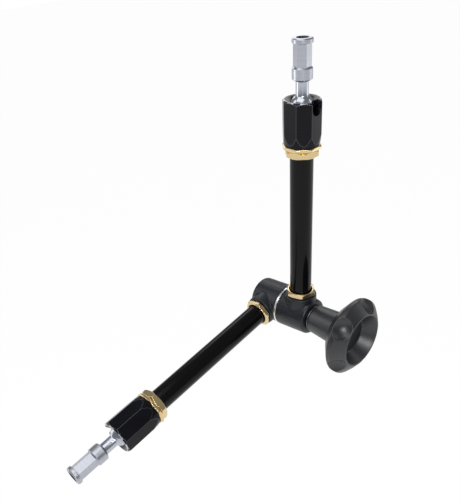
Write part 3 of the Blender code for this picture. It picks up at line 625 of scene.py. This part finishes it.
# %% Finger scoops
SCOOPS, SCOOP_RADIUS, SCOOP_CENTRE, SCOOP_ALONG = 5, 13.0, 37.4, 83.5
SCOOP_TURN = math.radians(45.0)
bm = bmesh.new()
for i in range(SCOOPS):
    angle = SCOOP_TURN + 2.0 * math.pi * i / SCOOPS
    centre = ELBOW + Vector((SCOOP_ALONG, -math.sin(angle) * SCOOP_CENTRE,
                             math.cos(angle) * SCOOP_CENTRE)) * MM
    bmesh.ops.create_uvsphere(bm, u_segments=64, v_segments=40, radius=SCOOP_RADIUS * MM,
                              matrix=Matrix.Translation(centre))
scoop_cutter = keep_piece(bm, "scoop_cutter", [])
cut = knob_form.modifiers.new("Cut", "BOOLEAN")
cut.operation = "DIFFERENCE"
cut.solver = "EXACT"
cut.object = scoop_cutter
knob = softened(knob_form, "moulded_knob", passes=5)
bpy.data.objects.remove(scoop_cutter)
knob.data.materials.append(KNOB_PLASTIC)
knob.data.materials.append(KNOB_FLOOR_GRAIN)

# %% The knob's floor is grained
FLOOR_BAND_LOW, FLOOR_BAND_HIGH, FLOOR_MARGIN = 71.8, 73.2, 0.2
grained = 0
for face in knob.data.polygons:
    from_axis = (face.center - ELBOW) / MM
    radius = math.hypot(from_axis.y, from_axis.z)
    if FLOOR_BAND_LOW < from_axis.x < FLOOR_BAND_HIGH and radius < FLOOR_RADIUS - FLOOR_MARGIN:
        face.material_index = 1
        grained += 1
stand_for(knob, "knob")
print("grained faces:", grained)

# %% [markdown]
# The pieces inside the arm show only through the slots, but each still has the finish
# that the real one has: plain turned steel, natural nylon and brass.

# %% Finishes of the inner pieces
inner = {"tie_bolt": STEEL["elbow"], "wedge_cone": STEEL["elbow"], "bolt_key": STEEL["elbow"],
         "wedge_key": STEEL["elbow"], "knob_insert": BRASS["elbow"]}
for side in ARMS:
    inner[side + "_push_rod"] = STEEL[side]
    inner[side + "_pressure_cup"] = STEEL[side]
    inner[side + "_rod_guide"] = NYLON
for name, material in inner.items():
    mesh = frame["nodes"][name].data
    mesh.materials.clear()
    mesh.materials.append(material)
print("inner pieces finished:", len(inner))


# %% [markdown]
# The photograph has a white ground with no visible shadow. The floor lies far below the
# arm, so that the arm can hang down in its other poses without going through it. What
# the floor and the world show depends on the ray that meets them. The camera sees them
# almost white, a mirroring surface sees them dimmer, and other rays find a dim world.
# So the ground looks white, metal has something to mirror, and black gloss stays black.

# %% A helper that tells the camera's rays from mirrored and other ones
def by_ray(tree, camera_value, mirrored_value, other_value):
    """A value that depends on which kind of ray meets the surface or the world."""
    rays = node(tree, "ShaderNodeLightPath")
    mirrored = ramp(tree, rays.outputs["Is Glossy Ray"], 0.0, 1.0, other_value, mirrored_value)
    seen = node(tree, "ShaderNodeMapRange")
    seen.inputs["To Max"].default_value = camera_value
    tree.links.new(rays.outputs["Is Camera Ray"], seen.inputs["Value"])
    tree.links.new(mirrored, seen.inputs["To Min"])
    return seen.outputs["Result"]


# %% Floor
FLOOR_SIZE, FLOOR_DROP, FLOOR_GLOW = 6.0, 0.45, 1.05
bm = bmesh.new()
bmesh.ops.create_grid(bm, x_segments=1, y_segments=1, size=FLOOR_SIZE,
                      matrix=Matrix.Translation((0.0, 0.0, cad_low.z - FLOOR_DROP)))
floor_finish = bpy.data.materials.new("pale_floor")
floor_finish.use_nodes = True
tree = floor_finish.node_tree
shader = tree.nodes["Principled BSDF"]
shader.inputs["Base Color"].default_value = (0.90, 0.90, 0.90, 1.0)
shader.inputs["Roughness"].default_value = 0.9
shader.inputs["Specular IOR Level"].default_value = 0.0
glow = node(tree, "ShaderNodeEmission")
glow.inputs["Strength"].default_value = FLOOR_GLOW
choose = node(tree, "ShaderNodeMixShader")
tree.links.new(by_ray(tree, 0.93, 0.80, 0.0), choose.inputs["Fac"])
tree.links.new(shader.outputs["BSDF"], choose.inputs[1])
tree.links.new(glow.outputs["Emission"], choose.inputs[2])
tree.links.new(choose.outputs["Shader"], tree.nodes["Material Output"].inputs["Surface"])
floor = keep_piece(bm, "floor", [floor_finish])
floor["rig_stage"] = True
print("floor lies at", round((cad_low.z - FLOOR_DROP) / MM), "mm")

# %% World
world = bpy.data.worlds.new("studio")
bpy.context.scene.world = world
world.use_nodes = True
tree = world.node_tree
background = tree.nodes["Background"]
background.inputs["Color"].default_value = (1.0, 1.0, 1.0, 1.0)
tree.links.new(by_ray(tree, 1.0, 0.24, 0.08), background.inputs["Strength"])

# %% [markdown]
# A black arm is drawn by what it mirrors, so it is lit by soft boxes and not by points.
# A large one stands above, a tall one on either side, one above and behind for the far
# edges, and a small one by the camera for the faces that look at it. Their places are
# given from the camera's view, so they can be read against the photograph.

# %% Lamps
LAMP_TARGET = ELBOW + Vector((0.0, 0.0, 0.05))


def add_softbox(name, offset, size_x, size_y, watts):
    """A soft box that looks just above the elbow; offset is along right, up and back."""
    data = bpy.data.lights.new(name, "AREA")
    data.shape = "RECTANGLE"
    data.size = size_x
    data.size_y = size_y
    data.energy = watts
    lamp = bpy.data.objects.new(name, data)
    bpy.context.scene.collection.objects.link(lamp)
    place_at = LAMP_TARGET + right * offset[0] + up * offset[1] + back * offset[2]
    lamp.location = place_at
    lamp.rotation_euler = (place_at - LAMP_TARGET).to_track_quat("Z", "Y").to_euler()


add_softbox("key_box", (-0.25, 0.55, 0.60), 0.80, 0.55, 1.8)
add_softbox("left_strip", (-0.75, 0.20, 0.05), 0.30, 0.90, 1.2)
add_softbox("right_strip", (0.75, 0.25, 0.05), 0.30, 0.90, 0.6)
add_softbox("back_box", (-0.05, 0.72, -0.34), 0.80, 0.35, 1.3)
add_softbox("front_box", (0.02, -0.02, 0.85), 0.30, 0.30, 2.4)

# %% Bounds of the dressed arm, and the end
low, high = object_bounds()
